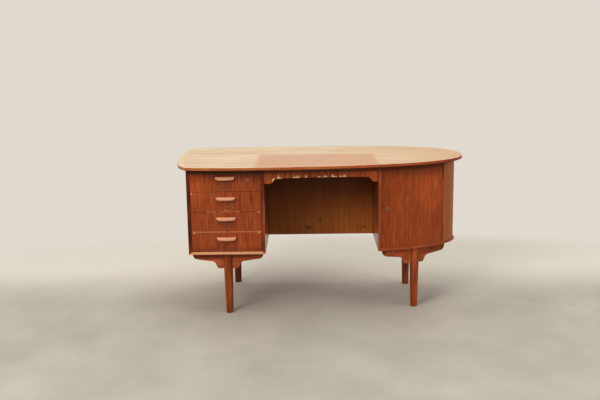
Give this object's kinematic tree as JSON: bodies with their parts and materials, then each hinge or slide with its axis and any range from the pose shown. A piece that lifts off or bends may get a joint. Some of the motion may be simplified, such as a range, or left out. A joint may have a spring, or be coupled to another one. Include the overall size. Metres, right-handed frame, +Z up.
{
  "type": "kidney desk",
  "caption": "Wooden writing desk with a bowed, round-ended top over a kneehole, with a bank of drawers at the left, a curved-door cabinet at the right and tapered legs.",
  "frame": {"origin": "on the floor under the middle of the desktop's bounding box", "axes": "+X to the user's right along the desktop, from the drawers to the cabinet; +Y from the user to the bookcase at the back; +Z up"},
  "size_m": [1.42, 0.69, 0.735],
  "materials": {
    "faded_veneer": "sun-faded teak veneer, worn satin lacquer",
    "edge_lipping": "oiled teak lipping",
    "case_wood": "reddish teak veneer, satin lacquer with wear",
    "pull_wood": "lighter solid wood, worn by hands",
    "leg_wood": "turned and satin lacquered reddish wood",
    "drawer_box_wood": "planed pale hardwood, unfinished",
    "brass": "dull aged brass",
    "lock_steel": "plain dull steel"
  },
  "bodies": {
    "case": {"desktop_panel": "faded_veneer", "desktop_lipping": "edge_lipping", "left_outer_side": "case_wood", "left_inner_side": "case_wood", "left_bottom": "case_wood", "left_back": "case_wood", "left_top_board": "case_wood", "kneehole_apron": "case_wood", "kneehole_panel": "case_wood", "bookcase_bottom": "case_wood", "bookcase_shelf": "case_wood", "right_inner_side": "case_wood", "right_bottom": "case_wood", "right_end_shell": "case_wood", "right_top_board": "case_wood", "cabinet_shelf": "case_wood", "upper_hinge_case_leaf": "brass", "lower_hinge_case_leaf": "brass", "left_front_leg": "leg_wood", "left_front_bracket": "leg_wood", "left_rear_leg": "leg_wood", "left_rear_bracket": "leg_wood", "right_front_leg": "leg_wood", "right_front_bracket": "leg_wood", "right_rear_leg": "leg_wood", "right_rear_bracket": "leg_wood"},
    "drawer_1": {"drawer_1_front": "case_wood", "drawer_1_left_side": "drawer_box_wood", "drawer_1_right_side": "drawer_box_wood", "drawer_1_back": "drawer_box_wood", "drawer_1_bottom": "drawer_box_wood", "drawer_1_pull": "pull_wood", "drawer_lock": "lock_steel", "drawer_keyhole_rim": "brass"},
    "drawer_2": {"drawer_2_front": "case_wood", "drawer_2_left_side": "drawer_box_wood", "drawer_2_right_side": "drawer_box_wood", "drawer_2_back": "drawer_box_wood", "drawer_2_bottom": "drawer_box_wood", "drawer_2_pull": "pull_wood"},
    "drawer_3": {"drawer_3_front": "case_wood", "drawer_3_left_side": "drawer_box_wood", "drawer_3_right_side": "drawer_box_wood", "drawer_3_back": "drawer_box_wood", "drawer_3_bottom": "drawer_box_wood", "drawer_3_pull": "pull_wood"},
    "drawer_4": {"drawer_4_front": "case_wood", "drawer_4_left_side": "drawer_box_wood", "drawer_4_right_side": "drawer_box_wood", "drawer_4_back": "drawer_box_wood", "drawer_4_bottom": "drawer_box_wood", "drawer_4_pull": "pull_wood"},
    "door": {"cabinet_door": "case_wood", "upper_hinge_door_leaf": "brass", "lower_hinge_door_leaf": "brass", "door_lock": "lock_steel", "door_keyhole_rim": "brass"},
    "drawer_bolt": {"drawer_lock_bolt": "brass"},
    "door_bolt": {"door_lock_bolt": "brass"}
  },
  "joints": [
    {"name": "drawer_1_slide", "type": "slide", "parent": "case", "child": "drawer_1", "axis": [0, -1, 0], "range_m": [0, 0.38]},
    {"name": "drawer_2_slide", "type": "slide", "parent": "case", "child": "drawer_2", "axis": [0, -1, 0], "range_m": [0, 0.38]},
    {"name": "drawer_3_slide", "type": "slide", "parent": "case", "child": "drawer_3", "axis": [0, -1, 0], "range_m": [0, 0.38]},
    {"name": "drawer_4_slide", "type": "slide", "parent": "case", "child": "drawer_4", "axis": [0, -1, 0], "range_m": [0, 0.38]},
    {"name": "cabinet_door_hinge", "type": "hinge", "parent": "case", "child": "door", "pos_m": [0.60373, -0.12629, 0.51325], "axis": [0, 0, 1], "range_deg": [0, 105]},
    {"name": "drawer_lock_bolt_slide", "type": "slide", "parent": "drawer_1", "child": "drawer_bolt", "axis": [0, 0, 1], "range_m": [0, 0.007]},
    {"name": "door_lock_bolt_slide", "type": "slide", "parent": "door", "child": "door_bolt", "axis": [-0.9754, -0.2206, 0], "range_m": [0, 0.007]}
  ]
}
